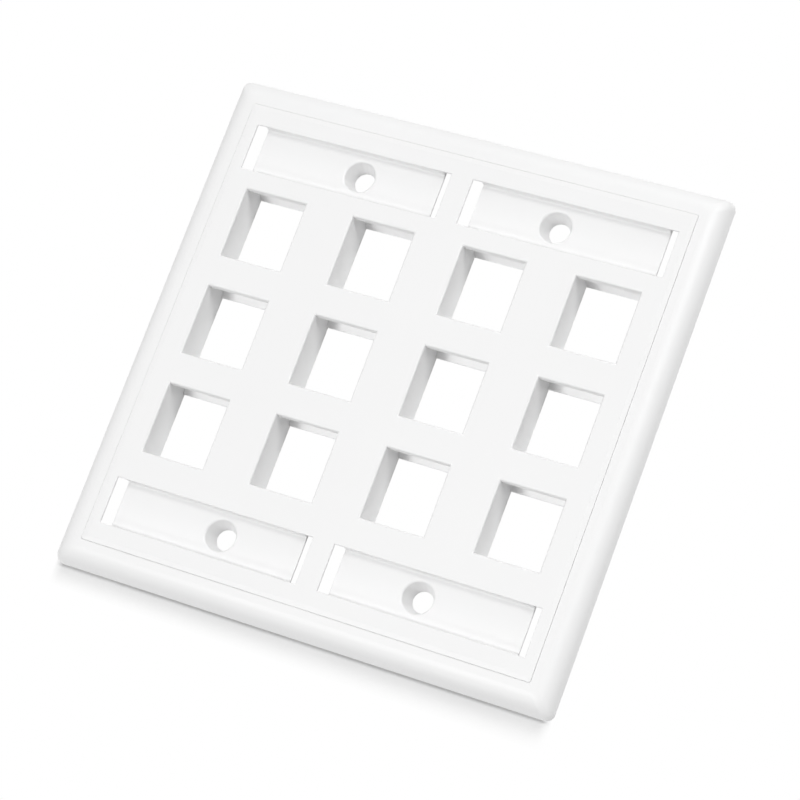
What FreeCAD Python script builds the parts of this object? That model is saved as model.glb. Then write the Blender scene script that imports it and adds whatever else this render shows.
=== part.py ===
import FreeCAD, Part
import os
from math import cos, pi, radians, sin, tan

# Two-gang keystone faceplate with twelve snap-in ports and four label
# recesses, injection moulded in one piece.  Millimetres.
# Frame: the plate lies on its back, +X is its width, +Y its top, +Z the way
# the face looks.  The origin is under the middle of the outline, on the plane
# where the rear ends of the port collars stand.

# outline and rim
PLATE_W = 115.8           # 4.56 in
PLATE_H = 114.3           # 4.50 in
RIM_DEPTH = 5.1           # face to the edge that meets the wall
RIM_WALL = 2.0
RIM_LAND = 0.15           # least height of the upright edge under the rounding
SKIN = 1.9                # thickness of the face
CORNER_R = 1.8            # outer corners at the rim
EDGE_R = 4.4              # rounding of the front edge

# raised middle panel and the sloping border round it
BORDER_W = 5.75
BORDER_FLAT = 0.5         # least width of the slope inside the rounding
BORDER_SLOPE = 4.0        # degrees
BORDER_CORNER_R = 1.0     # corners where the rounding meets the slope
PANEL_STEP = 0.1
GROOVE_W = 0.1            # fine line round the foot of the panel
GROOVE_DEPTH = 0.2
PANEL_BEVEL_W = 1.1
PANEL_BEVEL_FALL = 0.12
PANEL_CORNER_R = 0.4

# ports
COLUMNS = 4
ROWS = 3
PORT_W = 14.5
PORT_H = 15.9
PORT_PITCH_X = 25.95
PORT_PITCH_Y = 23.0
PORTS_RISE = 1.3          # middle of the port field above the plate's middle
PORT_DEPTH = 9.4          # face to the rear ends of the collars
PORT_DRAFT = 0.25         # widening of each side wall towards the back
COLLAR_WALL = 1.1
LIP = 1.8                 # face lip the jack stops against
LATCH_ROOM = 2.4          # height of the room above the lip for the latch
CATCH_DEPTH = 8.6         # face to the tip of the latch catch
CATCH_RISE = 0.2          # tip of the catch above the front opening
CATCH_ANGLE = 20.0        # slope of the catch, off the plane of the face
TOP_CATCH_DEPTH = 9.3     # the same in the top row, where the catch is steep
TOP_CATCH_RISE = 0.75
TOP_CATCH_ANGLE = 69.0
HOOK_ROOM = 1.2           # room below the lip for the jack's fixed hook
HOOK_DEPTH = 6.0

# screws (two-gang box standard)
SCREW_PITCH_X = 46.04
SCREW_PITCH_Y = 83.34
SCREW_HOLE_D = 4.7
SCREW_HEAD_D = 6.7
SCREW_SEAT_DEPTH = 4.0    # cone below the recess floor
SCREW_LAND = 0.3
SCREW_RIM_R = 0.6         # softening of the rim at the recess floor
BOSS_WALL = 2.2

# label recesses, one over and one under each gang
RECESS_GAP = 5.05         # bar of face between the two recesses of a row
RECESS_H = 10.4
RECESS_DEPTH = 1.9
RECESS_FOOT_R = 0.5       # hollow corner between long wall and floor
PAN_FLOOR = 1.3
PAN_WALL = 1.4
PAN_NOSE = 0.4            # floor thickness where it ends at a slot
PAN_NOSE_R = 0.15
SLOT_W = 1.95             # through slots for the label cover's hooks
SLOT_LIP = 0.45           # face thickness the hooks grip
SLOT_UNDERCUT = 0.9       # room behind that lip on its three sides

# softened front edges
PORT_EDGE_R = 0.45
RECESS_EDGE_R = 0.2

# levels
FACE_Z = PORT_DEPTH
RIM_Z = FACE_Z - RIM_DEPTH
SKIN_Z = FACE_Z - SKIN
FOOT_Z = FACE_Z - PANEL_STEP - PANEL_BEVEL_FALL
FLOOR_Z = FACE_Z - RECESS_DEPTH
PAN_Z = FLOOR_Z - PAN_FLOOR
OVER = 1.0                # how far cutters run past what they cut

V = FreeCAD.Vector


def block(x0, x1, y0, y1, z0, z1):
    return Part.makeBox(x1 - x0, y1 - y0, z1 - z0, V(x0, y0, z0))


def rounded_wire(w, h, r, z):
    """Rectangle w by h with corner radius r, as a closed wire at level z."""
    edges = []
    corners = [(w / 2 - r, h / 2 - r, 0), (r - w / 2, h / 2 - r, 90),
               (r - w / 2, r - h / 2, 180), (w / 2 - r, r - h / 2, 270)]
    for i, (cx, cy, a0) in enumerate(corners):
        p = [V(cx + r * cos(radians(a)), cy + r * sin(radians(a)), z)
             for a in (a0, a0 + 45, a0 + 90)]
        edges.append(Part.Arc(*p).toShape())
        nx, ny, a1 = corners[(i + 1) % 4]
        start = V(nx + r * cos(radians(a1)), ny + r * sin(radians(a1)), z)
        edges.append(Part.makeLine(p[2], start))
    return Part.Wire(edges)


def loft(sections, ruled):
    """Solid through rounded rectangles given as (inset, corner radius, level)."""
    wires = [rounded_wire(PLATE_W - 2 * a, PLATE_H - 2 * a, r, z) for a, r, z in sections]
    return Part.makeLoft(wires, True, ruled)


def shoulder_r():
    """Rounding of the front edge, within the rim's height and the border's width."""
    slope = radians(BORDER_SLOPE)
    drop = FACE_Z - FOOT_Z + BORDER_W * tan(slope)
    by_rim = (RIM_DEPTH - drop - RIM_LAND) / (cos(slope) - (1 - sin(slope)) * tan(slope))
    by_border = (BORDER_W - BORDER_FLAT) / (1 - sin(slope))
    return min(EDGE_R, by_rim, by_border)


def outer_body():
    """Upright edge, rounded shoulder and gently sloping border."""
    slope = radians(BORDER_SLOPE)
    r = shoulder_r()
    top_inset = r * (1 - sin(slope))
    top_z = FOOT_Z - (BORDER_W - top_inset) * tan(slope)
    centre_z = top_z - r * cos(slope)
    steps = 9
    shoulder = []
    for i in range(steps + 1):
        t = i * (pi / 2 - slope) / steps
        corner_r = BORDER_CORNER_R + (CORNER_R - BORDER_CORNER_R) * cos(t)
        shoulder.append((r * (1 - cos(t)), corner_r, centre_z + r * sin(t)))
    edge = loft([(0, CORNER_R, RIM_Z), shoulder[0]], True)
    border = loft([shoulder[-1], (BORDER_W, PANEL_CORNER_R, FOOT_Z)], True)
    return edge.fuse([loft(shoulder, False), border])


def panel():
    w = PLATE_W - 2 * BORDER_W
    h = PLATE_H - 2 * BORDER_W
    low = FACE_Z - PANEL_BEVEL_FALL
    pad = Part.Face(rounded_wire(w, h, PANEL_CORNER_R, SKIN_Z)).extrude(V(0, 0, low - SKIN_Z))
    inset = 2 * PANEL_BEVEL_W
    crown = Part.makeLoft([rounded_wire(w, h, PANEL_CORNER_R, low),
                           rounded_wire(w - inset, h - inset, PANEL_CORNER_R, FACE_Z)], True, True)
    return pad.fuse(crown)


def groove():
    """Ring cut round the foot of the panel."""
    w = PLATE_W - 2 * BORDER_W
    h = PLATE_H - 2 * BORDER_W
    low = FOOT_Z - GROOVE_DEPTH
    outer = rounded_wire(w + 2 * GROOVE_W, h + 2 * GROOVE_W, PANEL_CORNER_R + GROOVE_W, low)
    inner = rounded_wire(w, h, PANEL_CORNER_R, low)
    up = V(0, 0, FACE_Z - low)
    return Part.Face(outer).extrude(up).cut(Part.Face(inner).extrude(up))


def cavity():
    x = PLATE_W / 2 - RIM_WALL
    y = PLATE_H / 2 - RIM_WALL
    room = block(-x, x, -y, y, RIM_Z - OVER, SKIN_Z)
    edges = [e for e in room.Edges if max(v.Z for v in e.Vertexes) > SKIN_Z - 1e-3]
    return room.makeFillet(shoulder_r() - RIM_WALL, edges)


def column_x():
    return [(i - (COLUMNS - 1) / 2) * PORT_PITCH_X for i in range(COLUMNS)]


def row_y():
    return [PORTS_RISE + ((ROWS - 1) / 2 - j) * PORT_PITCH_Y for j in range(ROWS)]


def gang_x():
    """Middle of each pair of columns, where a label recess sits."""
    cols = column_x()
    return [(cols[0] + cols[1]) / 2, (cols[-2] + cols[-1]) / 2]


def collar(x, y):
    half = PORT_W / 2 + PORT_DRAFT + COLLAR_WALL
    return block(x - half, x + half,
                 y - PORT_H / 2 - HOOK_ROOM - COLLAR_WALL,
                 y + PORT_H / 2 + LATCH_ROOM + COLLAR_WALL,
                 0, SKIN_Z + SKIN / 2)


def port_cut(x, y, row):
    """The hollow of one port: front opening, latch room and hook room."""
    tip, rise, angle = CATCH_DEPTH, CATCH_RISE, CATCH_ANGLE
    if row == 0:
        tip, rise, angle = TOP_CATCH_DEPTH, TOP_CATCH_RISE, TOP_CATCH_ANGLE
    up = PORT_H / 2
    ramp = (LATCH_ROOM - rise) * tan(radians(angle))
    outline = [
        (-up, FACE_Z + OVER), (up, FACE_Z + OVER), (up, FACE_Z - LIP),
        (up + LATCH_ROOM, FACE_Z - LIP), (up + LATCH_ROOM, FACE_Z - tip + ramp),
        (up + rise, FACE_Z - tip), (up + rise, -OVER),
        (-up, -OVER), (-up, FACE_Z - HOOK_DEPTH), (-up - HOOK_ROOM, FACE_Z - HOOK_DEPTH),
        (-up - HOOK_ROOM, FACE_Z - LIP), (-up, FACE_Z - LIP),
    ]
    reach = PORT_W
    side = Part.Face(Part.makePolygon([V(-reach, yy, zz) for yy, zz in outline + outline[:1]]))
    tall = side.extrude(V(2 * reach, 0, 0))
    flare = PORT_DRAFT / PORT_DEPTH
    wide = [(s * (PORT_W / 2 + flare * (FACE_Z - z)), z)
            for s, z in ((-1, FACE_Z + OVER), (1, FACE_Z + OVER), (1, -OVER), (-1, -OVER))]
    front = Part.Face(Part.makePolygon([V(xx, -2 * PORT_H, zz) for xx, zz in wide + wide[:1]]))
    cut = tall.common(front.extrude(V(0, 4 * PORT_H, 0)))
    cut.translate(V(x, y, 0))
    return cut


def recess_span(gx):
    half = PORT_PITCH_X - RECESS_GAP / 2
    return gx - half, gx + half


def level_edges(shape, z, axis):
    """Edges at level z that keep one value of the axis, "X" or "Y"."""
    found = []
    for e in shape.Edges:
        at = [getattr(v, axis) for v in e.Vertexes]
        if all(abs(v.Z - z) < 1e-6 for v in e.Vertexes) and abs(at[0] - at[-1]) < 1e-6:
            found.append(e)
    return found


def pan(gx, sy):
    """Floor and long walls of a recess, hung under the face between slots."""
    x0, x1 = recess_span(gx)
    half = RECESS_H / 2 + PAN_WALL
    cy = sy * SCREW_PITCH_Y / 2
    slab = block(x0 + SLOT_W, x1 - SLOT_W, cy - half, cy + half, PAN_Z, SKIN_Z + SKIN / 2)
    return slab.makeChamfer(PAN_FLOOR - PAN_NOSE, level_edges(slab, PAN_Z, "X"))


def recess_cuts(gx, sy):
    """The label's trough, its two through slots and the rounding of the floor's ends."""
    x0, x1 = recess_span(gx)
    cy = sy * SCREW_PITCH_Y / 2
    y0, y1 = cy - RECESS_H / 2, cy + RECESS_H / 2
    trough = block(x0, x1, y0, y1, FLOOR_Z, FACE_Z + OVER)
    cuts = [trough.makeFillet(RECESS_FOOT_R, level_edges(trough, FLOOR_Z, "Y"))]
    for end, way in ((x0, 1), (x1, -1)):
        nose = end + way * SLOT_W
        under = end - way * SLOT_UNDERCUT
        cuts.append(block(min(end, nose), max(end, nose), y0, y1, PAN_Z - OVER, FACE_Z + OVER))
        cuts.append(block(min(under, nose), max(under, nose), y0 - SLOT_UNDERCUT, y1 + SLOT_UNDERCUT,
                          PAN_Z - OVER, FACE_Z - SLOT_LIP))
        centre = nose + way * PAN_NOSE_R
        low = FLOOR_Z - PAN_NOSE_R
        corner = block(min(end, centre), max(end, centre), y0, y1, low, FLOOR_Z + OVER)
        cuts.append(corner.cut(Part.makeCylinder(PAN_NOSE_R, RECESS_H, V(centre, y0, low), V(0, 1, 0))))
    return cuts


def boss(x, y):
    low = FLOOR_Z - SCREW_SEAT_DEPTH - SCREW_LAND
    return Part.makeCylinder(SCREW_HOLE_D / 2 + BOSS_WALL, FLOOR_Z - low - PAN_FLOOR / 2, V(x, y, low))


def screw_cut(x, y):
    """Countersunk screw hole, with its rim at the recess floor softened."""
    r0, r1, f = SCREW_HOLE_D / 2, SCREW_HEAD_D / 2, SCREW_RIM_R
    low = FLOOR_Z - SCREW_SEAT_DEPTH
    arc = Part.Arc(V(r1 + f, 0, FLOOR_Z),
                   V(r1 + f - f * cos(pi / 4), 0, FLOOR_Z - f + f * sin(pi / 4)),
                   V(r1, 0, FLOOR_Z - f)).toShape()
    below = low - SCREW_LAND - OVER
    above = FLOOR_Z + OVER
    path = [V(r1, 0, FLOOR_Z - f), V(r0, 0, low), V(r0, 0, below), V(0, 0, below),
            V(0, 0, above), V(r1 + f, 0, above), V(r1 + f, 0, FLOOR_Z)]
    wire = Part.Wire([Part.makePolygon(path), arc])
    cut = Part.Face(wire).revolve(V(0, 0, 0), V(0, 0, 1), 360)
    cut.translate(V(x, y, 0))
    return cut


def opening_edges(shape, lower, upper):
    """Edges on the face plane whose ends lie between two distances from mid-height."""
    edge_x = PLATE_W / 2 - BORDER_W - PANEL_BEVEL_W - 0.01
    found = []
    for e in shape.Edges:
        if all(abs(v.Z - FACE_Z) < 1e-4 and abs(v.X) < edge_x and lower < abs(v.Y) < upper
               for v in e.Vertexes):
            found.append(e)
    return found


def faceplate():
    body = outer_body().fuse(panel())
    body = body.cut([groove(), cavity()])
    screws = [(sx * SCREW_PITCH_X / 2, sy * SCREW_PITCH_Y / 2) for sx in (-1, 1) for sy in (-1, 1)]
    ports = [(x, y, row) for row, y in enumerate(row_y()) for x in column_x()]
    recesses = [(gx, sy) for gx in gang_x() for sy in (-1, 1)]
    solids = [collar(x, y) for x, y, row in ports]
    solids += [pan(gx, sy) for gx, sy in recesses]
    solids += [boss(x, y) for x, y in screws]
    body = body.fuse(solids)
    cuts = [port_cut(x, y, row) for x, y, row in ports]
    for gx, sy in recesses:
        cuts += recess_cuts(gx, sy)
    cuts += [screw_cut(x, y) for x, y in screws]
    body = body.cut(cuts).removeSplitter()
    port_top = row_y()[0] + PORT_H / 2
    recess_low = (SCREW_PITCH_Y - RECESS_H) / 2
    between = (port_top + recess_low) / 2
    panel_top = PLATE_H / 2 - BORDER_W - PANEL_BEVEL_W - 0.01
    body = body.makeFillet(PORT_EDGE_R, opening_edges(body, 0, between))
    body = body.makeFillet(RECESS_EDGE_R, opening_edges(body, between, panel_top))
    return body.Solids[0]


os.makedirs("parts", exist_ok=True)
faceplate().exportStep("parts/faceplate.step")
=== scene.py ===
import math

import bmesh
import bpy
from mathutils import Matrix, Vector


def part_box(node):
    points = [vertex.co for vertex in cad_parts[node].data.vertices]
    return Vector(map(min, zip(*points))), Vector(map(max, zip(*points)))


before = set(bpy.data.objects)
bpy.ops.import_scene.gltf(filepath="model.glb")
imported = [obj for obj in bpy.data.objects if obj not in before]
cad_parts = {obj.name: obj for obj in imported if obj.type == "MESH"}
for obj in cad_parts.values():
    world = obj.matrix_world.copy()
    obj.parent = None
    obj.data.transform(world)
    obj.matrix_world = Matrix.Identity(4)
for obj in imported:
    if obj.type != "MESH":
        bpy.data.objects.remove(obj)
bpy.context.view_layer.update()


# The faceplate: one injection moulding in white ABS, with its ports, their
# collars, the label recesses and the screw seats all in one. The colour goes
# right through, and the mould leaves it a smooth satin skin with no paint.
class Signal:
    """A shader value that can be used in plain arithmetic."""

    def __init__(self, shader, socket):
        self.shader = shader
        self.socket = socket

    def math(self, operation, first, second=0.0):
        node = self.shader.node("ShaderNodeMath", {"operation": operation}, {0: first, 1: second})
        return Signal(self.shader, node.outputs[0])

    def __add__(self, other):
        return self.math("ADD", self, other)

    __radd__ = __add__

    def __sub__(self, other):
        return self.math("SUBTRACT", self, other)

    def __rsub__(self, other):
        return self.math("SUBTRACT", other, self)

    def __mul__(self, other):
        return self.math("MULTIPLY", self, other)

    __rmul__ = __mul__

    def __truediv__(self, other):
        return self.math("DIVIDE", self, other)

    def __abs__(self):
        return self.math("ABSOLUTE", self)

    def held(self):
        """The value kept between 0 and 1."""
        return self.math("MINIMUM", self.math("MAXIMUM", self, 0.0), 1.0)


class Shader:
    """The node tree of a material or of the world."""

    def __init__(self, owner):
        owner.use_nodes = True
        self.tree = owner.node_tree
        self.tree.nodes.clear()

    def node(self, kind, settings=None, sockets=None):
        node = self.tree.nodes.new(kind)
        for name, value in (settings or {}).items():
            setattr(node, name, value)
        for name, value in (sockets or {}).items():
            if isinstance(value, Signal):
                value = value.socket
            if isinstance(value, bpy.types.NodeSocket):
                self.tree.links.new(value, node.inputs[name])
            else:
                node.inputs[name].default_value = value
        return node

    def signal(self, node, output=0):
        return Signal(self, node.outputs[output])


def white_abs():
    material = bpy.data.materials.new("white_abs")
    shader = Shader(material)
    white = (0.915, 0.915, 0.915, 1.0)
    whiter = (0.935, 0.935, 0.935, 1.0)
    smoothest = 0.36
    roughness_spread = 0.10
    flow_scale = 45.0
    skin_scale = 1400.0
    skin_depth = 0.00003
    skin_strength = 0.12
    spot = shader.node("ShaderNodeTexCoord").outputs["Object"]
    flow = shader.node("ShaderNodeTexNoise", {"noise_dimensions": "3D"},
                       {"Vector": spot, "Scale": flow_scale, "Detail": 3.0, "Roughness": 0.5})
    skin = shader.node("ShaderNodeTexNoise", {"noise_dimensions": "3D"},
                       {"Vector": spot, "Scale": skin_scale, "Detail": 2.0, "Roughness": 0.6})
    tone = shader.node("ShaderNodeMix", {"data_type": "RGBA"},
                       {0: flow.outputs[0], 6: white, 7: whiter})
    bump = shader.node("ShaderNodeBump", None,
                       {"Strength": skin_strength, "Distance": skin_depth,
                        "Height": skin.outputs[0]})
    plastic = shader.node("ShaderNodeBsdfPrincipled", None,
                          {"Base Color": tone.outputs[2],
                           "Roughness": shader.signal(flow) * roughness_spread + smoothest,
                           "IOR": 1.5, "Normal": bump.outputs[0]})
    shader.node("ShaderNodeOutputMaterial", None, {"Surface": plastic.outputs[0]})
    return material


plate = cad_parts["faceplate"]
plastic_skin = white_abs()
for place in plate.material_slots:
    place.material = plastic_skin


# The floor: one wide sheet of white paper, on which the plate lies on the ends
# of its collars. It is pure white to the eye, apart from the thin shadow along
# the plate's lower edge and the ring of shade at its rim, where its rendered
# shading shows through, with the strip's fade painted in by a mask and a painted
# darker contact line along that edge.
MM_PER_M = 1000.0


def ray_seen(shader):
    """1 for rays that show the surface itself, 0 for rays that gather its light."""
    rays = shader.node("ShaderNodeLightPath")
    return (shader.signal(rays, "Is Camera Ray") + shader.signal(rays, "Is Glossy Ray")
            + shader.signal(rays, "Is Transmission Ray")).held()


def lower_edge_shadow(shader, place):
    """The soft shadow past the plate's lower edge, as the share of the paper's rendered shading
    that shows, with its fade painted in, and the painted darker contact line at the edge, each
    from 0 to 1.
    """
    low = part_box("faceplate")[0]
    past = (low.y - shader.signal(place, 1)) * MM_PER_M
    along = shader.signal(place, 0) * MM_PER_M
    reach, growth_to_right, soft_share = 5.1, 0.012, 0.62
    dark_start, dark_reach, dark_share = -0.1, 0.45, 0.38
    painted_shadow_start, painted_shadow_reach = -0.3, 0.4
    tucked_under = 3.0
    half_length, shift_to_left, end_fade = 58.5, 1.95, 2.0
    # Painted fade: the share of the paper's rendered shadow that shows fades out with distance
    # from the edge.
    soft = (1.0 - past / (along * growth_to_right + reach)).held() * soft_share
    dark = (1.0 - (past - dark_start) / dark_reach).held() * dark_share
    # Painted shadow: the mask of a darker contact line painted into the paper's colour at the
    # plate's lower edge.
    painted_contact_shadow = (1.0 - (past - painted_shadow_start) / painted_shadow_reach).held()
    under = (past + tucked_under).held()
    across = ((half_length - abs(along + shift_to_left)) / end_fade).held()
    return (soft + dark) * under * across, painted_contact_shadow * under * across


def rim_shade(shader, place):
    """1 in a ring round the plate's rim, where the paper shows its own shading.

    Each side is kept narrow enough to stay out of sight, past the edges and
    through the slots, from the camera at the end of this script, apart from a
    speck at the end of one slot.
    """
    low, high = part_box("faceplate")
    fade = 1.5
    # axis, side of the plate, way inwards, then the start and end of the ring in mm
    # inward from that side, less than nothing where it lies outside the plate
    sides = [(0, low.x, 1.0, -2.3, 3.5),
             (0, high.x, -1.0, 2.0, 10.5),
             (1, low.y, 1.0, 2.0, 10.5),
             (1, high.y, -1.0, -1.7, 6.5)]
    beneath = 1.0
    near_rim = 0.0
    for axis, side, inward, start, end in sides:
        inside = (shader.signal(place, axis) - side) * (inward * MM_PER_M)
        beneath = beneath * (inside - start).held()
        near_rim = near_rim + ((end - inside) / fade).held()
    return beneath * near_rim.held()


def white_paper():
    material = bpy.data.materials.new("white_paper")
    shader = Shader(material)
    plain = (0.92, 0.92, 0.92, 1.0)
    painted_shadow_grey = (0.67, 0.67, 0.67, 1.0)
    spot = shader.node("ShaderNodeTexCoord").outputs["Object"]
    place = shader.node("ShaderNodeSeparateXYZ", None, {0: spot})
    shadow, painted_contact_shadow = lower_edge_shadow(shader, place)
    shaded = (shadow + rim_shade(shader, place)).held()
    # Painted shadow: the paper's colour turns darker grey along the plate's lower edge, as
    # contact shadow.
    tone = shader.node("ShaderNodeMix", {"data_type": "RGBA"},
                       {0: painted_contact_shadow, 6: plain, 7: painted_shadow_grey})
    paper = shader.node("ShaderNodeBsdfDiffuse", None, {"Color": tone.outputs[2]})
    white = shader.node("ShaderNodeEmission", None,
                        {"Color": (1.0, 1.0, 1.0, 1.0), "Strength": 1.0})
    bare = ray_seen(shader) * (1.0 - shaded)
    sheet = shader.node("ShaderNodeMixShader", None,
                        {0: bare, 1: paper.outputs[0], 2: white.outputs[0]})
    shader.node("ShaderNodeOutputMaterial", None, {"Surface": sheet.outputs[0]})
    return material


floor_half_width = 3.0
floor_mesh = bpy.data.meshes.new("floor")
floor_shape = bmesh.new()
bmesh.ops.create_grid(floor_shape, x_segments=1, y_segments=1, size=floor_half_width)
floor_shape.to_mesh(floor_mesh)
floor_shape.free()
floor = bpy.data.objects.new("floor", floor_mesh)
bpy.context.scene.collection.objects.link(floor)
floor_mesh.materials.append(white_paper())


# Studio light: three small panels stand in front of the plate, one of them low,
# a broad one stands over its upper right corner and a low one beyond its top
# edge. An even white surround fills the shadows.
def soft_panel(name, azimuth, elevation, width, level):
    """Square panel that lights a white surface facing it to the given level."""
    reach = 1.5
    flat = math.cos(math.radians(elevation))
    away = Vector((math.cos(math.radians(azimuth)) * flat,
                   math.sin(math.radians(azimuth)) * flat,
                   math.sin(math.radians(elevation))))
    data = bpy.data.lights.new(name, "AREA")
    data.shape = "SQUARE"
    data.size = width
    data.energy = level * (math.pi * reach) ** 2
    lamp = bpy.data.objects.new(name, data)
    bpy.context.scene.collection.objects.link(lamp)
    lamp.location = away * reach
    lamp.rotation_mode = "QUATERNION"
    lamp.rotation_quaternion = (-away).to_track_quat("-Z", "Y")


def surround(level):
    """Even light from all round, pure white to the camera and in reflections."""
    world = bpy.data.worlds.new("surround")
    bpy.context.scene.world = world
    shader = Shader(world)
    plain = (1.0, 1.0, 1.0, 1.0)
    dim = shader.node("ShaderNodeBackground", None, {"Color": plain, "Strength": level})
    white = shader.node("ShaderNodeBackground", None, {"Color": plain, "Strength": 1.0})
    sky = shader.node("ShaderNodeMixShader", None,
                      {0: ray_seen(shader), 1: dim.outputs[0], 2: white.outputs[0]})
    shader.node("ShaderNodeOutputWorld", None, {"Surface": sky.outputs[0]})


surround(level=0.2)
# name, azimuth, elevation, width in metres and level
soft_panel("front_key", 230.0, 65.0, 0.3, 0.258)
soft_panel("steep_front", 255.0, 65.0, 0.3, 0.095)
soft_panel("low_front", 255.0, 35.0, 0.3, 0.131)
soft_panel("back_right", 45.0, 50.0, 0.7, 0.428)
soft_panel("low_back", 90.0, 25.0, 0.7, 0.189)


# The camera: it stands over the plate's lower right corner with a long lens and
# looks down at the middle, turned so that the plate's top runs up to the left.
def standing_camera():
    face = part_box("faceplate")[1].z
    aim = Vector((0.0048, -0.0035, face))
    azimuth = math.radians(61.0)
    elevation = math.radians(65.26)
    distance = 0.605
    turn = math.radians(-42.53)
    back = Vector((math.sin(azimuth) * math.cos(elevation),
                   -math.cos(azimuth) * math.cos(elevation),
                   math.sin(elevation)))
    data = bpy.data.cameras.new("camera")
    data.sensor_width = 36.0
    data.lens = 131.04
    data.clip_start = 0.01
    data.clip_end = 10.0
    camera = bpy.data.objects.new("camera", data)
    bpy.context.scene.collection.objects.link(camera)
    upright = (-back).to_track_quat("-Z", "Y").to_matrix()
    camera.matrix_world = (Matrix.Translation(aim + back * distance)
                           @ (upright @ Matrix.Rotation(turn, 3, "Z")).to_4x4())
    bpy.context.scene.camera = camera


standing_camera()
bpy.context.scene.view_settings.view_transform = "Standard"
